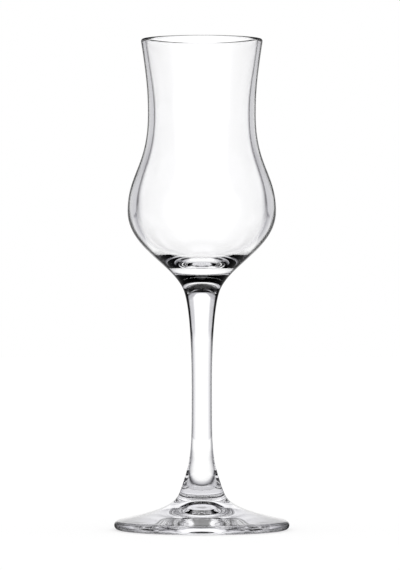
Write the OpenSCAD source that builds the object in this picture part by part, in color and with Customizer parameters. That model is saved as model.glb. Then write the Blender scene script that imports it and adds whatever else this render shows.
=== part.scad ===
// Stemmed grappa glass: a tulip bowl with a drawn-in waist, a slim solid stem and a broad foot.
// The three pieces are bodies of revolution, fused end to end while the glass is hot.
// Millimetres, +Z up. The origin is the centre of the ring that the foot rests on.

/* [Bowl] */
// Height of the bowl, from its fused joint with the stem to the top of the rim
bowl_h = 85.5; // [80:0.5:92]
// Outer diameter just under the rim
rim_d = 41.7; // [39:0.1:44]
// Outer diameter of the waist
waist_d = 37.1; // [34:0.1:39]
// Height of the waist above the joint with the stem
waist_up = 59.5; // [56:0.5:63]
// Outer diameter of the belly
belly_d = 51; // [47:0.1:54]
// Height of the belly above the joint with the stem
belly_up = 26.5; // [24:0.5:29]
// Height of the inside floor above the joint with the stem
floor_up = 8; // [6:0.1:10]

/* [Bowl wall] */
// Thickness of the rim
rim_wall = 1.4; // [1:0.05:1.8]
// Height of the rounded top of the rim
rim_round = 0.9; // [0.6:0.05:1.2]
// Wall thickness at the waist
waist_wall = 2.1; // [1.4:0.05:2.6]
// Wall thickness at the belly
belly_wall = 3.1; // [2:0.05:3.6]

/* [Stem] */
// Height of the stem, from the joint with the foot to the joint with the bowl
stem_h = 68.7; // [60:0.1:80]
// Diameter at the joint with the bowl
stem_top_d = 13; // [11:0.1:15]
// Diameter at the slimmest place
stem_slim_d = 6.9; // [6:0.1:8]
// Height of the slimmest place above the joint with the foot
stem_slim_up = 34.2; // [30:0.1:38]
// Diameter at the joint with the foot
stem_foot_d = 14.4; // [12:0.1:16]

/* [Foot] */
// Height of the foot, from the table to the joint with the stem
foot_h = 13.8; // [12:0.1:16]
// Outer diameter of the foot
foot_d = 60; // [56:0.5:64]
// Radius of the rounded edge of the foot
edge_r = 1.55; // [1.2:0.05:1.9]
// Fall of the foot's upper face at the edge, as height lost per radius
edge_fall = 0.23; // [0.15:0.01:0.3]
// Width of the flat ring that the foot rests on
ring_w = 4; // [2:0.1:6]
// Height of the hollow under the foot, at its middle
hollow_h = 7.5; // [6.8:0.1:8.2]
// Diameter of the steeper dome in the middle of the hollow
dome_d = 18; // [16:0.5:20]
// Height of the hollow at the edge of its dome
dome_up = 4; // [3.5:0.1:4.5]

/* [Curves] */
// Lean of the wall at the rim, as radius gained per height
rim_lean = 0.15; // [0.08:0.01:0.22]
// Lean at the joint of bowl and stem, as radius gained per height
top_lean = 0.48; // [0.4:0.01:0.55]
// Lean at the joint of stem and foot, as radius gained per height lost
foot_lean = 0.35; // [0.3:0.01:0.4]
// Straight pieces that every curve is drawn with
steps = 24; // [12:1:40]

/* [Hidden] */
$fn = 128;

// Heights above the table
stem_joint_z = foot_h;
bowl_joint_z = foot_h + stem_h;
slim_z = stem_joint_z + stem_slim_up;
floor_z = bowl_joint_z + floor_up;
belly_z = bowl_joint_z + belly_up;
waist_z = bowl_joint_z + waist_up;
rim_z = bowl_joint_z + bowl_h - rim_round;

// Radii
rim_r = rim_d / 2;
waist_r = waist_d / 2;
belly_r = belly_d / 2;
top_r = stem_top_d / 2;
slim_r = stem_slim_d / 2;
joint_r = stem_foot_d / 2;
ring_r = foot_d / 2 - edge_r;
hollow_r = ring_r - ring_w;
dome_r = dome_d / 2;

// Rise of the hollow from the ring to its dome, as height gained per radius lost
hollow_rise = dome_up / (hollow_r - dome_r);

// The rounded edge of the foot meets the sloping upper face where both have the same direction
edge_turn = 90 - atan(edge_fall);
edge_meet = [ring_r + edge_r * cos(edge_turn), edge_r + edge_r * sin(edge_turn)];

// Lengths of the handles that pull each curve along its direction at either end
rim_pull = 14.5;
waist_pull_up = 6.5;
waist_pull_down = 17.5;
belly_pull_up = 13;
belly_pull_down = 12.4;
top_pull_up = 8.6;
top_pull_down = 4.8;
slim_pull_up = 14.5;
slim_pull_down = 21.8;
joint_pull_up = 10.3;
joint_pull_down = 4.3;
edge_pull = 18.6;
inner_belly_pull_down = 9;
floor_pull = 12;
dome_pull_out = 4;
dome_pull_in = 4;

// Point of a cubic curve from a to d, pulled towards b and c, at t from 0 to 1
function on_curve(a, b, c, d, t) =
    pow(1 - t, 3) * a + 3 * pow(1 - t, 2) * t * b + 3 * (1 - t) * t * t * c + pow(t, 3) * d;

// Points of that curve, without its last one, so that curves can follow each other
function curve(a, b, c, d) = [for (i = [0 : steps - 1]) on_curve(a, b, c, d, i / steps)];

// Points on an ellipse about a centre, from one angle to another, without its last one
function arc(centre, rx, ry, from, to) =
    [for (i = [0 : steps - 1])
        let (angle = from + (to - from) * i / steps)
        centre + [rx * cos(angle), ry * sin(angle)]];

// Outside of the bowl, from the joint with the stem up to the rim
bowl_outside = concat(
    curve([top_r, bowl_joint_z],
          [top_r + top_lean * top_pull_up, bowl_joint_z + top_pull_up],
          [belly_r, belly_z - belly_pull_down],
          [belly_r, belly_z]),
    curve([belly_r, belly_z],
          [belly_r, belly_z + belly_pull_up],
          [waist_r, waist_z - waist_pull_down],
          [waist_r, waist_z]),
    curve([waist_r, waist_z],
          [waist_r, waist_z + waist_pull_up],
          [rim_r - rim_lean * rim_pull, rim_z - rim_pull],
          [rim_r, rim_z])
);

// Rounded top of the rim, from the outside to the inside
rim_top = arc([rim_r - rim_wall / 2, rim_z], rim_wall / 2, rim_round, 0, 180);

// Inside of the bowl, from the rim down to the middle of the floor
inner_rim_r = rim_r - rim_wall;
inner_waist_r = waist_r - waist_wall;
inner_belly_r = belly_r - belly_wall;
bowl_inside = concat(
    curve([inner_rim_r, rim_z],
          [inner_rim_r - rim_lean * rim_pull, rim_z - rim_pull],
          [inner_waist_r, waist_z + waist_pull_up],
          [inner_waist_r, waist_z]),
    curve([inner_waist_r, waist_z],
          [inner_waist_r, waist_z - waist_pull_down],
          [inner_belly_r, belly_z + belly_pull_up],
          [inner_belly_r, belly_z]),
    curve([inner_belly_r, belly_z],
          [inner_belly_r, belly_z - inner_belly_pull_down],
          [floor_pull, floor_z],
          [0, floor_z]),
    [[0, floor_z]]
);

// Outside of the stem, from the joint with the foot up to the joint with the bowl
stem_outside = concat(
    curve([joint_r, stem_joint_z],
          [joint_r - foot_lean * joint_pull_up, stem_joint_z + joint_pull_up],
          [slim_r, slim_z - slim_pull_down],
          [slim_r, slim_z]),
    curve([slim_r, slim_z],
          [slim_r, slim_z + slim_pull_up],
          [top_r - top_lean * top_pull_down, bowl_joint_z - top_pull_down],
          [top_r, bowl_joint_z]),
    [[top_r, bowl_joint_z]]
);

// Upper face of the foot, from the joint with the stem out to the rounded edge
foot_upper = curve(
    [joint_r, stem_joint_z],
    [joint_r + foot_lean * joint_pull_down, stem_joint_z - joint_pull_down],
    edge_meet + edge_pull * [-1, edge_fall],
    edge_meet
);

// Rounded edge of the foot, down to the ring that it rests on
foot_edge = arc([ring_r, edge_r], edge_r, edge_r, edge_turn, -90);

// Underside of the foot: the flat ring, a conical hollow and the dome in its middle
foot_under = concat(
    [[ring_r, 0], [hollow_r, 0]],
    curve([dome_r, dome_up],
          [dome_r - dome_pull_out, dome_up + hollow_rise * dome_pull_out],
          [dome_pull_in, hollow_h],
          [0, hollow_h]),
    [[0, hollow_h]]
);

// Hollow vessel with a solid base: thin at the rim, thicker down to the belly
module bowl() {
    color("aliceblue")
        rotate_extrude()
            polygon(concat([[0, bowl_joint_z]], bowl_outside, rim_top, bowl_inside));
}

// Solid stem that flares at both ends
module stem() {
    color("azure")
        rotate_extrude()
            polygon(concat([[0, stem_joint_z]], stem_outside, [[0, bowl_joint_z]]));
}

// Broad foot that rises in a cone to the stem, with a hollow underside
module foot() {
    color("lightcyan")
        rotate_extrude()
            polygon(concat([[0, stem_joint_z]], foot_upper, foot_edge, foot_under));
}

bowl();
stem();
foot();
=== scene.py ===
# %% [markdown]
# # A stemmed grappa glass
#
# The glass is three pieces of clear, colourless glass that were fused while hot: a tulip bowl, a
# slim solid stem and a broad foot. Each is a body of revolution, so each is made here from one
# drawn outline that a Geometry Nodes tree turns about the upright axis. Clear glass has no colour
# of its own. What a camera sees in it is the studio, bent by the shape, so the second half of this
# lesson is about the bright and the dark sheets round the glass that draw its edges.
#
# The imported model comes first. It fixes where each piece is and how large it is.

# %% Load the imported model
import math

import bmesh
import bpy
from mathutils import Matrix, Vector


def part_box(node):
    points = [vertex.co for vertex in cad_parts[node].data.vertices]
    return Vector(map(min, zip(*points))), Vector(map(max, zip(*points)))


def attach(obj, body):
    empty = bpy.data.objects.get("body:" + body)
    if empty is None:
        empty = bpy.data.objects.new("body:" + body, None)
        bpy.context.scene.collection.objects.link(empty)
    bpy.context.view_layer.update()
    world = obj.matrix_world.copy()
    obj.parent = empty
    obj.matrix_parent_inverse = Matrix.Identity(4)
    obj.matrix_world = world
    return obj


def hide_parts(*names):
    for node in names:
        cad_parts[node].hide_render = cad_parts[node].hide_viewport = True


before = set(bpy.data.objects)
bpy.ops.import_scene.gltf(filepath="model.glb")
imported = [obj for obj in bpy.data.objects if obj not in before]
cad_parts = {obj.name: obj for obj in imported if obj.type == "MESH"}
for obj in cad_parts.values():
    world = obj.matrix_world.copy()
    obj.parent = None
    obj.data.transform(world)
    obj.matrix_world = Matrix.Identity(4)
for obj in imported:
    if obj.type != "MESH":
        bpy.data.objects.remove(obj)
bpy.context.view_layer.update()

print("packed pieces:", sorted(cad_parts))

# %% [markdown]
# ## Sizes
#
# Sizes are in millimetres, because that is how a glass maker writes them. Heights and widths that
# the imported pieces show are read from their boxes. The rest, such as the waist and the thickness of
# the wall, can't be read from a box and is written down with its piece.

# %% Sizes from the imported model
MM = 0.001


def box_mm(node):
    """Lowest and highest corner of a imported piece, in millimetres."""
    low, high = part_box(node)
    return [value / MM for value in low], [value / MM for value in high]


bowl_low, bowl_high = box_mm("bowl")
stem_high = box_mm("stem")[1]
foot_high = box_mm("foot")[1]

rim_top_z = bowl_high[2]
bowl_joint_z = bowl_low[2]
stem_joint_z = foot_high[2]
belly_r = bowl_high[0]
stem_foot_r = stem_high[0]
foot_r = foot_high[0]
print("rim at", round(rim_top_z, 2), "joints at", round(bowl_joint_z, 2), round(stem_joint_z, 2))

# %% [markdown]
# ## Drawing an outline
#
# An outline is half of the section through a piece, drawn from the axis outwards and back to the
# axis. Like a template for a glass blower's block, it needs few points: each has a place and two
# handles that say how the line enters and leaves it. A Bezier curve in Blender holds just that, so
# no long list of points is needed. A point with no handle on a side starts a straight line there.

# %% Outline helpers
STRAIGHT = (0.0, 0.0)
CURVE_STEPS = 24


def outline(name, points):
    """Open curve in the XZ plane. Each point is (radius, height), handle in, handle out."""
    data = bpy.data.curves.new(name, "CURVE")
    data.dimensions = "3D"
    data.resolution_u = CURVE_STEPS
    spline = data.splines.new("BEZIER")
    spline.bezier_points.add(len(points) - 1)
    for knot, (place, into, out) in zip(spline.bezier_points, points):
        knot.handle_left_type = knot.handle_right_type = "FREE"
        knot.co = (place[0] * MM, 0, place[1] * MM)
        knot.handle_left = ((place[0] + into[0]) * MM, 0, (place[1] + into[1]) * MM)
        knot.handle_right = ((place[0] + out[0]) * MM, 0, (place[1] + out[1]) * MM)
        if into == STRAIGHT:
            knot.handle_left_type = "VECTOR"
        if out == STRAIGHT:
            knot.handle_right_type = "VECTOR"
    curve = bpy.data.objects.new(name, data)
    bpy.context.scene.collection.objects.link(curve)
    return curve


def arc_pull(radius, degrees):
    """Length of the handles that make a Bezier curve follow an arc."""
    return radius * 4 / 3 * math.tan(math.radians(degrees) / 4)


print("each curve is drawn in", CURVE_STEPS, "steps")

# %% [markdown]
# ## Writing node trees
#
# Both the shapes and the finishes below are node trees. They could be wired by hand in the editor,
# but a script can be read and run again. Adding a node, setting it and linking its inputs takes
# several lines each time, so two helpers do it in one.

# %% Node helpers
def add_node(tree, kind, inputs=None, **settings):
    """A node with its settings, and its inputs set to a value or linked to an output."""
    node = tree.nodes.new(kind)
    for name, value in settings.items():
        setattr(node, name, value)
    for key, value in (inputs or {}).items():
        if isinstance(value, bpy.types.NodeSocket):
            tree.links.new(value, node.inputs[key])
        else:
            node.inputs[key].default_value = value
    return node


def add_math(tree, operation, *values):
    """The result of a Math node."""
    node = add_node(tree, "ShaderNodeMath", dict(enumerate(values)), operation=operation)
    return node.outputs[0]


print("node helpers:", add_node.__name__, add_math.__name__)

# %% [markdown]
# ## Turning the outline
#
# A lathe, the Screw modifier or Geometry Nodes could all turn an outline into a solid. The node
# tree is used here because its rule can be read: a flat grid of points is wrapped so that its rows
# follow the outline and its columns go round the axis. The columns meet where the grid closes, and
# all the points on the axis fall together, so merging close points leaves a closed skin.
#
# The flat faces where two pieces are fused must not show. Light goes straight through hot-fused
# glass, so the tree gives those faces a material of their own, chosen by their height.

# %% The turning tree
TURNS = 256
MERGE_M = 0.004 * MM
JOINT_SLACK_M = 0.01 * MM


def turning_tree():
    """Geometry Nodes group that turns an outline about the Z axis."""
    tree = bpy.data.node_groups.new("turned glass", "GeometryNodeTree")
    face = tree.interface
    face.new_socket("Geometry", in_out="OUTPUT", socket_type="NodeSocketGeometry")
    for name, kind in (
        ("Outline", "NodeSocketObject"),
        ("Turns", "NodeSocketInt"),
        ("Lower joint", "NodeSocketFloat"),
        ("Upper joint", "NodeSocketFloat"),
        ("Glass", "NodeSocketMaterial"),
        ("Fused face", "NodeSocketMaterial"),
    ):
        face.new_socket(name, in_out="INPUT", socket_type=kind)
    given = tree.nodes.new("NodeGroupInput").outputs

    # The outline's points, in order
    drawn = add_node(tree, "GeometryNodeObjectInfo", {"Object": given["Outline"]})
    points = add_node(
        tree,
        "GeometryNodeCurveToPoints",
        {"Curve": drawn.outputs["Geometry"]},
        mode="EVALUATED",
    )
    count = add_node(
        tree,
        "GeometryNodeAttributeDomainSize",
        {"Geometry": points.outputs["Points"]},
        component="POINTCLOUD",
    )

    # A flat grid with a row for each point and a column for each turn
    columns = add_math(tree, "ADD", given["Turns"], 1)
    grid = add_node(
        tree,
        "GeometryNodeMeshGrid",
        {"Vertices X": count.outputs["Point Count"], "Vertices Y": columns},
    )
    index = add_node(tree, "GeometryNodeInputIndex").outputs[0]
    row = add_math(tree, "FLOOR", add_math(tree, "DIVIDE", index, columns))
    column = add_math(tree, "FLOORED_MODULO", index, columns)
    angle = add_math(tree, "DIVIDE", add_math(tree, "MULTIPLY", column, math.tau), given["Turns"])

    # Each grid point goes to its outline point, turned by its column's angle
    place = add_node(tree, "GeometryNodeInputPosition").outputs[0]
    on_outline = add_node(
        tree,
        "GeometryNodeSampleIndex",
        {"Geometry": points.outputs["Points"], "Value": place, "Index": row},
        data_type="FLOAT_VECTOR",
    )
    split = add_node(tree, "ShaderNodeSeparateXYZ", {0: on_outline.outputs[0]}).outputs
    turned = add_node(
        tree,
        "ShaderNodeCombineXYZ",
        {
            0: add_math(tree, "MULTIPLY", split["X"], add_math(tree, "COSINE", angle)),
            1: add_math(tree, "MULTIPLY", split["X"], add_math(tree, "SINE", angle)),
            2: split["Z"],
        },
    )
    wrapped = add_node(
        tree,
        "GeometryNodeSetPosition",
        {"Geometry": grid.outputs["Mesh"], "Position": turned.outputs[0]},
    )
    closed = add_node(
        tree,
        "GeometryNodeMergeByDistance",
        {"Geometry": wrapped.outputs[0], "Distance": MERGE_M},
    )

    # Faces that lie at a joint's height are fused
    height = add_node(tree, "ShaderNodeSeparateXYZ", {0: place}).outputs["Z"]
    at_joint = add_math(
        tree,
        "ADD",
        add_math(tree, "COMPARE", height, given["Lower joint"], JOINT_SLACK_M),
        add_math(tree, "COMPARE", height, given["Upper joint"], JOINT_SLACK_M),
    )
    real = add_node(tree, "GeometryNodeRealizeInstances", {0: closed.outputs[0]})
    glassy = add_node(
        tree,
        "GeometryNodeSetMaterial",
        {"Geometry": real.outputs[0], "Material": given["Glass"]},
    )
    fused = add_node(
        tree,
        "GeometryNodeSetMaterial",
        {"Geometry": glassy.outputs[0], "Selection": at_joint, "Material": given["Fused face"]},
    )
    result = tree.nodes.new("NodeGroupOutput")
    tree.links.new(fused.outputs[0], result.inputs["Geometry"])
    return tree


turned_glass = turning_tree()
print("turning tree:", len(turned_glass.nodes), "nodes")

# %% [markdown]
# ## From the tree to a piece
#
# The tree runs as a modifier on an empty mesh. Its inputs are set by the sockets' identifiers
# before anything is evaluated, and the result is kept as a plain mesh, because a glass maker's part
# should not change any more once it has cooled. The outline has done its work then and is removed.
# Faces are turned outwards, since the shader asks at each face whether light goes into the glass or
# out of it, and edges sharper than the glass's soft curves stay sharp.

# %% Turn one piece
SHARP_DEGREES = 35
NO_JOINT_M = -1.0


def turned_piece(name, points, glass, fused, lower_joint=None, upper_joint=None):
    """A finished piece: its outline turned, made a plain mesh, riding on the glass's one body."""
    drawn = outline(name + "_outline", points)
    piece = bpy.data.objects.new(name + "_glass", bpy.data.meshes.new(name + "_glass"))
    bpy.context.scene.collection.objects.link(piece)
    modifier = piece.modifiers.new("turned", "NODES")
    modifier.node_group = turned_glass
    values = {
        "Outline": drawn,
        "Turns": TURNS,
        "Lower joint": NO_JOINT_M if lower_joint is None else lower_joint * MM,
        "Upper joint": NO_JOINT_M if upper_joint is None else upper_joint * MM,
        "Glass": glass,
        "Fused face": fused,
    }
    for socket in turned_glass.interface.items_tree:
        if socket.in_out == "INPUT":
            modifier[socket.identifier] = values[socket.name]
    bpy.context.view_layer.update()
    evaluated = piece.evaluated_get(bpy.context.evaluated_depsgraph_get())
    mesh = bpy.data.meshes.new_from_object(evaluated)
    piece.modifiers.clear()
    piece.data = mesh
    mesh.name = name + "_glass"
    bpy.data.objects.remove(drawn)

    work = bmesh.new()
    work.from_mesh(mesh)
    bmesh.ops.recalc_face_normals(work, faces=work.faces)
    if work.calc_volume(signed=True) < 0:
        bmesh.ops.reverse_faces(work, faces=work.faces)
    open_edges = sum(not edge.is_manifold for edge in work.edges)
    volume = work.calc_volume() / MM**3
    work.to_mesh(mesh)
    work.free()
    mesh.shade_smooth()
    mesh.set_sharp_from_angle(angle=math.radians(SHARP_DEGREES))

    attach(piece, "root")
    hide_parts(name)
    faces = len(mesh.polygons)
    print(name, "has", faces, "faces,", open_edges, "open edges,", round(volume), "mm3")
    return piece


print("edges over", SHARP_DEGREES, "degrees stay sharp")

# %% [markdown]
# ## The painted dark line at the edges
#
# At the very edge of a glass the light has a long way through it at a grazing angle, and the edge
# draws a dark line. The studio alone draws that line too thin for a small picture, so the line is
# also painted into the glass's colour as shade: Layer Weight finds faces that are turned away from
# the eye, and the base colour is darkened there.
#
# On the outside of the bowl the painted line is wider at the rounded rim, and below the belly, where
# the glass is thick. On the inside of the wall it is thin and ends at the belly. A ray meets the
# outside where it enters the glass, so that Backfacing is 0, through a face that points away from the
# axis. On the stem the painted shade is black under the bowl and faint lower down. The foot has it
# all round.

# %% Painted edge shade
belly_z = bowl_joint_z + 26.5
belly_fade = (belly_z - 5.0, belly_z + 4.0)
rim_fade = (rim_top_z - 1.4, rim_top_z - 0.7)
stem_fade = (56.0, 68.0)
wider_low = 0.05
wider_rim = 0.3
stem_faint = 0.2

# How far a face is turned away, from 0 to 1, where the painted line starts and where it is full
bowl_outer_turn = (0.7, 0.8)
bowl_inner_turn = (0.7, 0.82)
stem_turn = (0.36, 0.5)
foot_turn = (0.74, 0.9)


def smooth_range(tree, value, span, ends=(0.0, 1.0)):
    """A value mapped smoothly from a span to the two ends given."""
    limits = {"From Min": span[0], "From Max": span[1], "To Min": ends[0], "To Max": ends[1]}
    inputs = {"Value": value, **limits}
    node = add_node(tree, "ShaderNodeMapRange", inputs, interpolation_type="SMOOTHSTEP")
    return node.outputs["Result"]


def by_height(tree, place, span_mm, ends):
    """A value that changes smoothly with the height of the point that is shaded."""
    height = add_node(tree, "ShaderNodeSeparateXYZ", {0: place}).outputs["Z"]
    return smooth_range(tree, height, [z * MM for z in span_mm], ends)


def met_outside(tree, place):
    """1 where a ray enters the glass through a face that points away from the axis."""
    hit = add_node(tree, "ShaderNodeNewGeometry").outputs
    flat = {0: place, 1: (1, 1, 0)}
    from_axis = add_node(tree, "ShaderNodeVectorMath", flat, operation="MULTIPLY").outputs[0]
    pair = {0: hit["Normal"], 1: from_axis}
    outward = add_node(tree, "ShaderNodeVectorMath", pair, operation="DOT_PRODUCT").outputs["Value"]
    entering = add_math(tree, "SUBTRACT", 1.0, hit["Backfacing"])
    return add_math(tree, "MULTIPLY", entering, add_math(tree, "GREATER_THAN", outward, 0.0))


def bowl_painted_edge_shade(tree, place, turned_away):
    """The bowl's painted edge shade: wide outside at the rim and below the belly, thin inside above
    the belly.
    """
    below_belly = by_height(tree, place, belly_fade, (1.0, 0.0))
    at_rim = by_height(tree, place, rim_fade, (0.0, wider_rim))
    wider = add_math(tree, "ADD", add_math(tree, "MULTIPLY", below_belly, wider_low), at_rim)
    widened = add_math(tree, "ADD", turned_away, wider)
    outside = met_outside(tree, place)
    outer = add_math(tree, "MULTIPLY", outside, smooth_range(tree, widened, bowl_outer_turn))
    inside = add_math(tree, "SUBTRACT", 1.0, add_math(tree, "MAXIMUM", outside, below_belly))
    inner = add_math(tree, "MULTIPLY", inside, smooth_range(tree, turned_away, bowl_inner_turn))
    return add_math(tree, "ADD", outer, inner)


def stem_painted_edge_shade(tree, place, turned_away):
    """The stem's painted edge shade: full under the bowl and faint lower down."""
    strength = by_height(tree, place, stem_fade, (stem_faint, 1.0))
    return add_math(tree, "MULTIPLY", strength, smooth_range(tree, turned_away, stem_turn))


def foot_painted_edge_shade(tree, place, turned_away):
    """The foot's painted edge shade, the same at every height."""
    return smooth_range(tree, turned_away, foot_turn)


print("edge lines:", bowl_painted_edge_shade.__name__, stem_painted_edge_shade.__name__, foot_painted_edge_shade.__name__)

# %% [markdown]
# ## Clear glass
#
# The real finish is fire-polished soda glass: smooth, without colour, and bending light by about
# 1.5. A Principled shader with full transmission gives that. Hot-worked glass is never quite flat,
# so a low, slow waviness is bumped into it. It reads the object's own coordinates, which all three
# pieces share, so the waves run on across the joints. The foot's glass is a trace cooler, as its
# greys are in the photo.

# %% Materials
glass_ior = 1.5
white_glass = (0.995, 0.995, 0.998)
cool_glass = (0.98, 0.978, 1.0)

# Sockets of a Mix node that are used for colours
MIX_FIRST, MIX_SECOND, MIX_RESULT = 6, 7, 2


def mix_colours(tree, share, first, second):
    """A colour that goes from the first to the second with the share."""
    colours = {MIX_FIRST: (*first, 1), MIX_SECOND: (*second, 1)}
    node = add_node(tree, "ShaderNodeMix", {"Factor": share, **colours}, data_type="RGBA")
    return node.outputs[MIX_RESULT]


def clear_glass(name, colour, painted_edge_shade, painted_shade_grey, wave_mm, waves_per_m):
    """Fire-polished glass with a slow waviness, and painted shade in its colour where it is turned
    away.
    """
    material = bpy.data.materials.new(name)
    material.use_nodes = True
    tree = material.node_tree
    shader = tree.nodes["Principled BSDF"]
    shader.inputs["Transmission Weight"].default_value = 1.0
    shader.inputs["Roughness"].default_value = 0.0
    shader.inputs["IOR"].default_value = glass_ior
    place = add_node(tree, "ShaderNodeTexCoord").outputs["Object"]

    # Painted shade: where a face is turned away from the eye, the base colour is mixed towards a dark
    # grey.
    turned_away = add_node(tree, "ShaderNodeLayerWeight", {"Blend": 0.5}).outputs["Facing"]
    line = painted_edge_shade(tree, place, turned_away)
    edge_shaded_colour = mix_colours(tree, line, colour, (painted_shade_grey, painted_shade_grey, painted_shade_grey))
    tree.links.new(edge_shaded_colour, shader.inputs["Base Color"])

    noise = {"Vector": place, "Scale": waves_per_m, "Detail": 1.0}
    waves = add_node(tree, "ShaderNodeTexNoise", noise).outputs[0]
    relief = {"Height": waves, "Distance": wave_mm * MM, "Strength": 1.0}
    bump = add_node(tree, "ShaderNodeBump", relief)
    tree.links.new(bump.outputs["Normal"], shader.inputs["Normal"])
    return material


def fused_face():
    """The inside of a fused joint, which light crosses as if it weren't there."""
    material = bpy.data.materials.new("fused face")
    material.use_nodes = True
    material.node_tree.nodes["Principled BSDF"].inputs["Alpha"].default_value = 0.0
    return material


# The grey given to each finish is the grey of its painted edge shade.
bowl_finish = clear_glass(
    "clear bowl glass", white_glass, bowl_painted_edge_shade, painted_shade_grey=0.02, wave_mm=0.01, waves_per_m=90
)
stem_finish = clear_glass(
    "clear stem glass", white_glass, stem_painted_edge_shade, painted_shade_grey=0.0, wave_mm=0.01, waves_per_m=90
)
foot_finish = clear_glass(
    "clear foot glass", cool_glass, foot_painted_edge_shade, painted_shade_grey=0.05, wave_mm=0.006, waves_per_m=120
)
joint_finish = fused_face()
print("finishes:", bowl_finish.name, stem_finish.name, foot_finish.name, joint_finish.name)

# %% [markdown]
# ## The bowl
#
# The bowl is a tulip: a solid base, a round belly, a drawn-in waist that holds the scent, and a lip
# that opens a little. Its wall is thin at the rim and thickens down to the belly. Inside and outside
# are one outline that goes up the outside, over the rounded rim and down the inside to the floor.
# Each pull is the length of a handle, so it says how long the line keeps its direction.

# %% Sizes of the bowl
rim_r = 20.85
rim_wall = 1.4
rim_round = 0.9
rim_z = rim_top_z - rim_round
rim_lean = 0.15
rim_pull = 14.5
waist_r = 18.55
waist_z = bowl_joint_z + 59.5
waist_wall = 2.1
waist_pull_up = 6.5
waist_pull_down = 17.5
belly_wall = 3.1
belly_pull_up = 13.0
belly_pull_down = 12.4
inner_belly_pull_down = 9.0
floor_z = bowl_joint_z + 8.0
floor_pull = 12.0
stem_top_r = 6.5
top_lean = 0.48
top_pull_up = 8.6
heights = {"floor": floor_z, "belly": belly_z, "waist": waist_z, "rim": rim_z}
print("heights of the bowl:", {part: round(z, 2) for part, z in heights.items()})

# %% Bowl
lip_up = arc_pull(rim_round, 90)
lip_side = arc_pull(rim_wall / 2, 90)
bowl_outline = [
    ((0, bowl_joint_z), STRAIGHT, STRAIGHT),
    ((stem_top_r, bowl_joint_z), STRAIGHT, (top_lean * top_pull_up, top_pull_up)),
    ((belly_r, belly_z), (0, -belly_pull_down), (0, belly_pull_up)),
    ((waist_r, waist_z), (0, -waist_pull_down), (0, waist_pull_up)),
    ((rim_r, rim_z), (-rim_lean * rim_pull, -rim_pull), (0, lip_up)),
    ((rim_r - rim_wall / 2, rim_top_z), (lip_side, 0), (-lip_side, 0)),
    ((rim_r - rim_wall, rim_z), (0, lip_up), (-rim_lean * rim_pull, -rim_pull)),
    ((waist_r - waist_wall, waist_z), (0, waist_pull_up), (0, -waist_pull_down)),
    ((belly_r - belly_wall, belly_z), (0, belly_pull_up), (0, -inner_belly_pull_down)),
    ((0, floor_z), (floor_pull, 0), STRAIGHT),
]
bowl = turned_piece("bowl", bowl_outline, bowl_finish, joint_finish, lower_joint=bowl_joint_z)

# %% [markdown]
# ## The stem
#
# The stem is drawn from the bowl's base while it is hot, so it is solid and slimmest near its
# middle. It flares at both ends, with the same lean as its neighbours, and the eye finds no joint.

# %% Stem
slim_r = 3.45
slim_z = stem_joint_z + 34.2
slim_pull_down = 21.8
slim_pull_up = 14.5
top_pull_down = 4.8
foot_lean = 0.35
joint_pull_up = 10.3

stem_outline = [
    ((0, stem_joint_z), STRAIGHT, STRAIGHT),
    ((stem_foot_r, stem_joint_z), STRAIGHT, (-foot_lean * joint_pull_up, joint_pull_up)),
    ((slim_r, slim_z), (0, -slim_pull_down), (0, slim_pull_up)),
    ((stem_top_r, bowl_joint_z), (-top_lean * top_pull_down, -top_pull_down), STRAIGHT),
    ((0, bowl_joint_z), STRAIGHT, STRAIGHT),
]
stem = turned_piece(
    "stem",
    stem_outline,
    stem_finish,
    joint_finish,
    lower_joint=stem_joint_z,
    upper_joint=bowl_joint_z,
)

# %% [markdown]
# ## The foot
#
# The foot is a broad cone that runs out into a thin, rounded edge. It stands on a flat ring just
# inside that edge. Inside the ring its underside is hollow: a cone that follows the upper face, and
# a steeper dome under the stem. The photo doesn't show the underside, but it shows its image, bent
# by the glass: the bright arch in the middle of the foot and the arcs beside it come from that dome.

# %% Sizes of the foot
edge_r = 1.55
edge_fall = 0.23
edge_pull = 18.6
joint_pull_down = 4.3
ring_r = foot_r - edge_r
ring_w = 4.0
hollow_r = ring_r - ring_w
hollow_h = 7.5
dome_r = 9.0
dome_up = 4.0
dome_pull = 4.0
hollow_rise = dome_up / (hollow_r - dome_r)
print("ring from", round(hollow_r, 2), "to", round(ring_r, 2), "hollow up to", hollow_h)

# %% Foot
edge_turn = 90 - math.degrees(math.atan(edge_fall))
edge_out = (math.cos(math.radians(edge_turn)), math.sin(math.radians(edge_turn)))
edge_meet = (ring_r + edge_r * edge_out[0], edge_r + edge_r * edge_out[1])
upper_arc = arc_pull(edge_r, edge_turn)
lower_arc = arc_pull(edge_r, 90)
edge_start = (upper_arc * edge_out[1], -upper_arc * edge_out[0])

foot_outline = [
    ((0, stem_joint_z), STRAIGHT, STRAIGHT),
    ((stem_foot_r, stem_joint_z), STRAIGHT, (foot_lean * joint_pull_down, -joint_pull_down)),
    (edge_meet, (-edge_pull, edge_fall * edge_pull), edge_start),
    ((foot_r, edge_r), (0, upper_arc), (0, -lower_arc)),
    ((ring_r, 0), (lower_arc, 0), STRAIGHT),
    ((hollow_r, 0), STRAIGHT, STRAIGHT),
    ((dome_r, dome_up), STRAIGHT, (-dome_pull, dome_pull * hollow_rise)),
    ((0, hollow_h), (dome_pull, 0), STRAIGHT),
]
foot = turned_piece("foot", foot_outline, foot_finish, joint_finish, upper_joint=stem_joint_z)

# %% [markdown]
# ## The camera
#
# The camera stands far off with a long lens, level, about half way up the glass, so that the rim
# and the foot are both seen almost edge on.

# %% Camera
IMAGE_W = 400
IMAGE_H = 570
SENSOR_MM = 36.0
camera_azimuth = 225
camera_distance_px = 3700
camera_up = 83.7
mm_per_px = 0.3426
axis_px = 201.8
near_clip_m = 0.01
lens_mm = SENSOR_MM * camera_distance_px / IMAGE_H
distance = camera_distance_px * mm_per_px * MM

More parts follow.
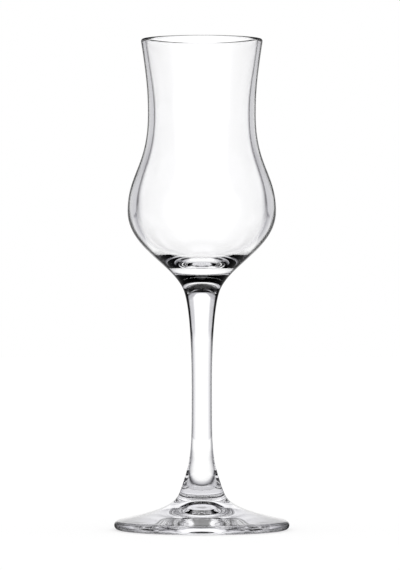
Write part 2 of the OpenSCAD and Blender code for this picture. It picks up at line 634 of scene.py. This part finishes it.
turn = math.radians(camera_azimuth)
to_camera = Vector((math.sin(turn), -math.cos(turn), 0))
view_line = -to_camera
to_right = view_line.cross(Vector((0, 0, 1)))
camera_data = bpy.data.cameras.new("camera")
camera_data.lens = lens_mm
camera_data.sensor_width = SENSOR_MM
camera_data.clip_start = near_clip_m
camera = bpy.data.objects.new("camera", camera_data)
bpy.context.scene.collection.objects.link(camera)
aside = (IMAGE_W / 2 - axis_px) * mm_per_px * MM
camera.location = to_camera * distance + to_right * aside + Vector((0, 0, camera_up * MM))
camera.rotation_euler = view_line.to_track_quat("-Z", "Y").to_euler()
bpy.context.scene.camera = camera
print("lens", round(lens_mm, 1), "mm at", round(distance, 3), "m")

# %% [markdown]
# ## The studio
#
# Clear glass is lit from behind. A white backdrop shines through it, and what is dark beside the
# backdrop is bent into its edges and draws them: photographers call this bright-field light. Lamps
# would only leave white spots on the glass, so the studio is made of a white world and of sheets.
#
# The world is plain white at a strength of 1. It is the white background that the camera sees, and
# its light falls on the floor, where the glass leaves a soft shadow.

# %% World
world = bpy.data.worlds.new("studio")
bpy.context.scene.world = world
world.use_nodes = True
sky = world.node_tree.nodes["Background"]
sky.inputs["Color"].default_value = (1, 1, 1, 1)
sky.inputs["Strength"].default_value = 1.0
print("world strength:", sky.inputs["Strength"].default_value)

# %% [markdown]
# ## Sheets round the glass
#
# A photographer hangs a tent of cloth round a glass and pins bright and dark cards to it. It could
# be built from many flat cards and lamps. Here it takes two sheets, a screen and a floor, each a
# mesh of rings about the axis of the glass. Every point of a sheet stores its glow, worked out by a
# rule from its height, its distance from the axis and the angle by which it is away from the
# backdrop's middle.
#
# The rules are written with soft steps. A zone is a pair: the place where it has ended and the place
# from which it is full, with a smooth change between them.

# %% Sheet helpers
SECTORS = 180


def soft_step(value, none, full):
    """0 up to none, 1 from full on and a smooth change between them, in either direction."""
    share = min(max((value - none) / (full - none), 0.0), 1.0)
    return share * share * (3 - 2 * share)


def polar_sheet(name, rows, glow, mirrored):
    """A sheet of rings about the axis, each (radius, height). It stores glow and mirrored share."""
    corners, quads, glows, shares = [], [], [], []
    for radius, height in rows:
        for sector in range(SECTORS):
            turned = math.tau * sector / SECTORS
            away = abs((math.degrees(turned) + 180) % 360 - 180)
            spot = (view_line * math.cos(turned) + to_right * math.sin(turned)) * radius
            corners.append((spot.x, spot.y, height))
            glows.append(glow(away, radius, height))
            shares.append(mirrored(away, height))
    for row in range(len(rows) - 1):
        near, far = row * SECTORS, (row + 1) * SECTORS
        for sector in range(SECTORS):
            after = (sector + 1) % SECTORS
            quads.append((near + sector, near + after, far + after, far + sector))
    data = bpy.data.meshes.new(name)
    data.from_pydata(corners, [], quads)
    data.attributes.new("glow", "FLOAT", "POINT").data.foreach_set("value", glows)
    data.attributes.new("mirrored", "FLOAT", "POINT").data.foreach_set("value", shares)
    sheet = bpy.data.objects.new(name, data)
    bpy.context.scene.collection.objects.link(sheet)
    dimmest, brightest = round(min(glows), 2), round(max(glows), 2)
    print(name, "has", len(quads), "faces and glows from", dimmest, "to", brightest)
    return sheet


print("sheets have", SECTORS, "sectors")

# %% [markdown]
# ## How the glass sees a sheet
#
# Glass shows a sheet in two ways: light comes through it, bent, and its polished skin mirrors. Flags
# in front of the cards keep the mirrored streaks off the glass, so every point also stores the share
# of its glow that is mirrored. Light Path tells which way a ray has come. Dim cloth is never quite
# grey: here it leans a little to violet, and so do the greys in the glass.

# %% Glow nodes
white = (1.0, 1.0, 1.0)
dim_violet = (0.92, 0.91, 1.0)


def stored(tree, name):
    """A value that the points of a sheet store."""
    return add_node(tree, "ShaderNodeAttribute", attribute_name=name).outputs["Fac"]


def light_path(tree, kind):
    """1 for rays of one kind."""
    return add_node(tree, "ShaderNodeLightPath").outputs[kind]


def seen_glow(tree):
    """Glow as glass shows it: all of it by refraction, and the mirrored share by reflection."""
    bent = light_path(tree, "Is Transmission Ray")
    share = add_math(tree, "MAXIMUM", stored(tree, "mirrored"), bent)
    return add_math(tree, "MULTIPLY", stored(tree, "glow"), share)


def glow_colour(tree):
    """White where a sheet is bright, and faintly violet where it is dim."""
    bright = add_math(tree, "MAXIMUM", stored(tree, "glow"), light_path(tree, "Is Camera Ray"))
    return mix_colours(tree, bright, dim_violet, white)


print("glow nodes:", seen_glow.__name__, glow_colour.__name__)

# %% [markdown]
# ## The screen
#
# The screen is the wall and the ceiling of the tent, 0.3 m from the axis. Behind the glass it is a
# bright backdrop, white in its middle and a little greyer at its sides, which the wall of the bowl
# shows. Past about 40 degrees, or 50 at the height of the bowl, it gets dim, and that draws the line
# inside the wall. Over the backdrop it is dark up to a lamp, so the solid base of the bowl and the
# dome of the foot get their black bands. Low down it is wider, for the stem. On the other side,
# behind the camera, it is bright again, so that the glass looks as clear from there.
#
# Only the middle of the backdrop is mirrored in full. It gives the slopes of the foot their sheen.

# %% Glow of the backdrop
backdrop_reach = 42
bowl_reach = 11
bowl_zone = (0.085, 0.11)
reach_fade = 6
white_share = 0.38
white_zone = (27, 19)
backdrop_top = 0.22
top_drop = 0.03
top_drop_zone = (10, 22)
top_fade = 0.025


def backdrop_glow(away, height):
    """Backdrop behind the glass: white in its middle, greyer at its sides, dark over its top."""
    reach = backdrop_reach + bowl_reach * soft_step(height, *bowl_zone)
    middle = white_share * soft_step(away, *white_zone)
    whole = (1 - white_share) * soft_step(away, reach, reach - reach_fade)
    top = backdrop_top - top_drop * soft_step(away, *top_drop_zone)
    return (middle + whole) * soft_step(height, top, top - top_fade)


print("backdrop reaches", backdrop_reach, "to", backdrop_reach + bowl_reach, "degrees")

# %% Glow of the screen
low_side_zone, low_side_heights = (78, 12), (0.1, 0.08)
side_level = 0.22
side_zone, side_heights = (85, 60), (0.25, 0.2)
high_side_gain = 2.2
high_side_heights = (0.115, 0.145)
lamp_level = 0.75
lamp_inner, lamp_outer = (5, 25), (58, 42)
lamp_bottom, lamp_top = (0.31, 0.35), (0.395, 0.385)
other_side_zone = (104, 124)
other_side_level = 0.95
other_side_heights = (0.19, 0.165)
flagged_share = 0.15
sheen_zone, sheen_heights = (22, 13), (0.2, 0.165)


def screen_glow(away, radius, height):
    """Glow of the screen: the backdrop with a lamp over it, dim sides and a bright other side."""
    low_side = soft_step(away, *low_side_zone) * soft_step(height, *low_side_heights)
    side = side_level * soft_step(away, *side_zone) * soft_step(height, *side_heights)
    high_side = high_side_gain * side * soft_step(height, *high_side_heights)
    lamp_width = soft_step(away, *lamp_inner) * soft_step(away, *lamp_outer)
    lamp_height = soft_step(height, *lamp_bottom) * soft_step(height, *lamp_top)
    lamp = lamp_level * lamp_width * lamp_height
    other_width = soft_step(away, *other_side_zone)
    other_side = other_side_level * other_width * soft_step(height, *other_side_heights)
    return max(backdrop_glow(away, height), low_side, side, high_side, lamp, other_side)


def screen_mirrored(away, height):
    """Share of the screen's glow that the glass mirrors: flags keep out all but the middle."""
    sheen = soft_step(away, *sheen_zone) * soft_step(height, *sheen_heights)
    return flagged_share + (1 - flagged_share) * sheen


print("lamp from", lamp_bottom[0], "to", lamp_top[0], "m up")

# %% [markdown]
# ## Hanging the screen
#
# The screen is there for the glass alone. The camera, the floor and the shadow don't see it, because
# the white world already is the background and the light.

# %% Screen
screen_r = 0.3
screen_h = 0.4
screen_level = 1.15
screen_steps = 40
ceiling_shares = (0.8, 0.4, 0.001)

wall_rows = [(screen_r, screen_h * step / screen_steps) for step in range(screen_steps + 1)]
ceiling_rows = [(screen_r * share, screen_h) for share in ceiling_shares]
screen = polar_sheet("screen", wall_rows + ceiling_rows, screen_glow, screen_mirrored)
screen.visible_camera = False
screen.visible_diffuse = False
screen.visible_shadow = False

cloth = bpy.data.materials.new("lit cloth")
cloth.use_nodes = True
tree = cloth.node_tree
tree.nodes.clear()
level = add_math(tree, "MULTIPLY", seen_glow(tree), screen_level)
shine = add_node(tree, "ShaderNodeEmission", {"Color": glow_colour(tree), "Strength": level})
add_node(tree, "ShaderNodeOutputMaterial", {"Surface": shine.outputs[0]})
screen.data.materials.append(cloth)
print("screen material:", cloth.name)

# %% [markdown]
# ## The floor
#
# The floor is a sheet of white paper. To the camera, part of its white is its own glow and part is a
# matt grey in the world's light, which add up to white, and the matt part keeps the shadow. To the
# glass it shows only the glow that its points store, with the foot's shadow painted into it: a little
# dim under the foot as painted shade, dark in a narrow ring where the foot stands as a painted
# contact shadow, and bright behind the glass and on its other side.

# %% Glow of the floor
# Painted shadow: the floor's glow is dimmed under the foot and black in the ring where the foot
# stands.
shade_under_foot_level = 0.8
painted_shadow_start_radii = (0.03, 0.024)
behind_level = 1.1
behind_zone = (66, 14)
behind_radii = (0.033, 0.043)
spread = 14
spread_radii = (0.08, 0.2)
floor_side_level = 0.35
floor_side_radii = (0.05, 0.09)
floor_other_level = 1.05
floor_other_radii = (0.036, 0.06)


def floor_glow(away, radius, height):
    """Glow of the floor as the glass shows it: painted shade under the foot and a painted shadow
    where the foot stands.
    """
    under = shade_under_foot_level * soft_step(radius, *painted_shadow_start_radii)
    wider = spread * soft_step(radius, *spread_radii)
    behind_width = soft_step(away, behind_zone[0] + wider, behind_zone[1] + wider)
    behind = behind_level * behind_width * soft_step(radius, *behind_radii)
    side = floor_side_level * soft_step(radius, *floor_side_radii)
    other_width = soft_step(away, *other_side_zone)
    other_side = floor_other_level * other_width * soft_step(radius, *floor_other_radii)
    return max(under, behind, side, other_side)


def floor_mirrored(away, height):
    """Share of the floor's glow that the glass mirrors."""
    return flagged_share


print("floor is dark from", painted_shadow_start_radii[0], "to", behind_radii[0], "m")

# %% [markdown]
# ## Laying the floor
#
# The rings of the sheet are close together under the glass, where the glow changes within a few
# millimetres, and far apart further out. The paper lies a tenth of a millimetre under the foot, so
# that the two faces don't fight for the same place.

# %% Floor
paper_z = -0.0001
paper_glow = 0.62
paper_matt = 0.4
floor_radii = [0.001, *range(2, 42), 45, 50, 60, 70, 80, 100, 150, 200, 300, 600, 3000]

floor_rows = [(radius * MM, paper_z) for radius in floor_radii]
floor = polar_sheet("floor", floor_rows, floor_glow, floor_mirrored)

paper = bpy.data.materials.new("white paper")
paper.use_nodes = True
tree = paper.node_tree
tree.nodes.clear()
to_eye = light_path(tree, "Is Camera Ray")
levels = {"Factor": to_eye, "A": seen_glow(tree), "B": paper_glow}
level = add_node(tree, "ShaderNodeMix", levels, data_type="FLOAT").outputs[0]
shine = add_node(tree, "ShaderNodeEmission", {"Color": glow_colour(tree), "Strength": level})
grey = (paper_matt, paper_matt, paper_matt, 1)
matt = add_node(tree, "ShaderNodeBsdfDiffuse", {"Color": grey}).outputs[0]
dark = add_node(tree, "ShaderNodeBsdfDiffuse", {"Color": (0, 0, 0, 1)}).outputs[0]
matt_to_eye = add_node(tree, "ShaderNodeMixShader", {0: to_eye, 1: dark, 2: matt})
both = add_node(tree, "ShaderNodeAddShader", {0: shine.outputs[0], 1: matt_to_eye.outputs[0]})
add_node(tree, "ShaderNodeOutputMaterial", {"Surface": both.outputs[0]})
floor.data.materials.append(paper)
print("floor material:", paper.name)

# %% [markdown]
# ## View settings
#
# The Standard view shows a colour as it is written. In solid glass a ray crosses many faces and is
# thrown about inside before it leaves, so rays are followed for more bounces than usual. With fewer,
# the base of the bowl and the middle of the foot would turn black.

# %% View settings
glass_bounces = 32
mirror_bounces = 16
scene = bpy.context.scene
scene.view_settings.view_transform = "Standard"
scene.cycles.max_bounces = glass_bounces
scene.cycles.transmission_bounces = glass_bounces
scene.cycles.transparent_max_bounces = glass_bounces
scene.cycles.glossy_bounces = mirror_bounces
print("view:", scene.view_settings.view_transform, "bounces:", scene.cycles.max_bounces)

# %% [markdown]
# ## The finished pieces
#
# The pieces drawn here stand for the imported ones, so both have to fill the same box. The last line
# prints the names of the finished pieces.

# %% Finish
print("finished pieces:", bowl.name, stem.name, foot.name)
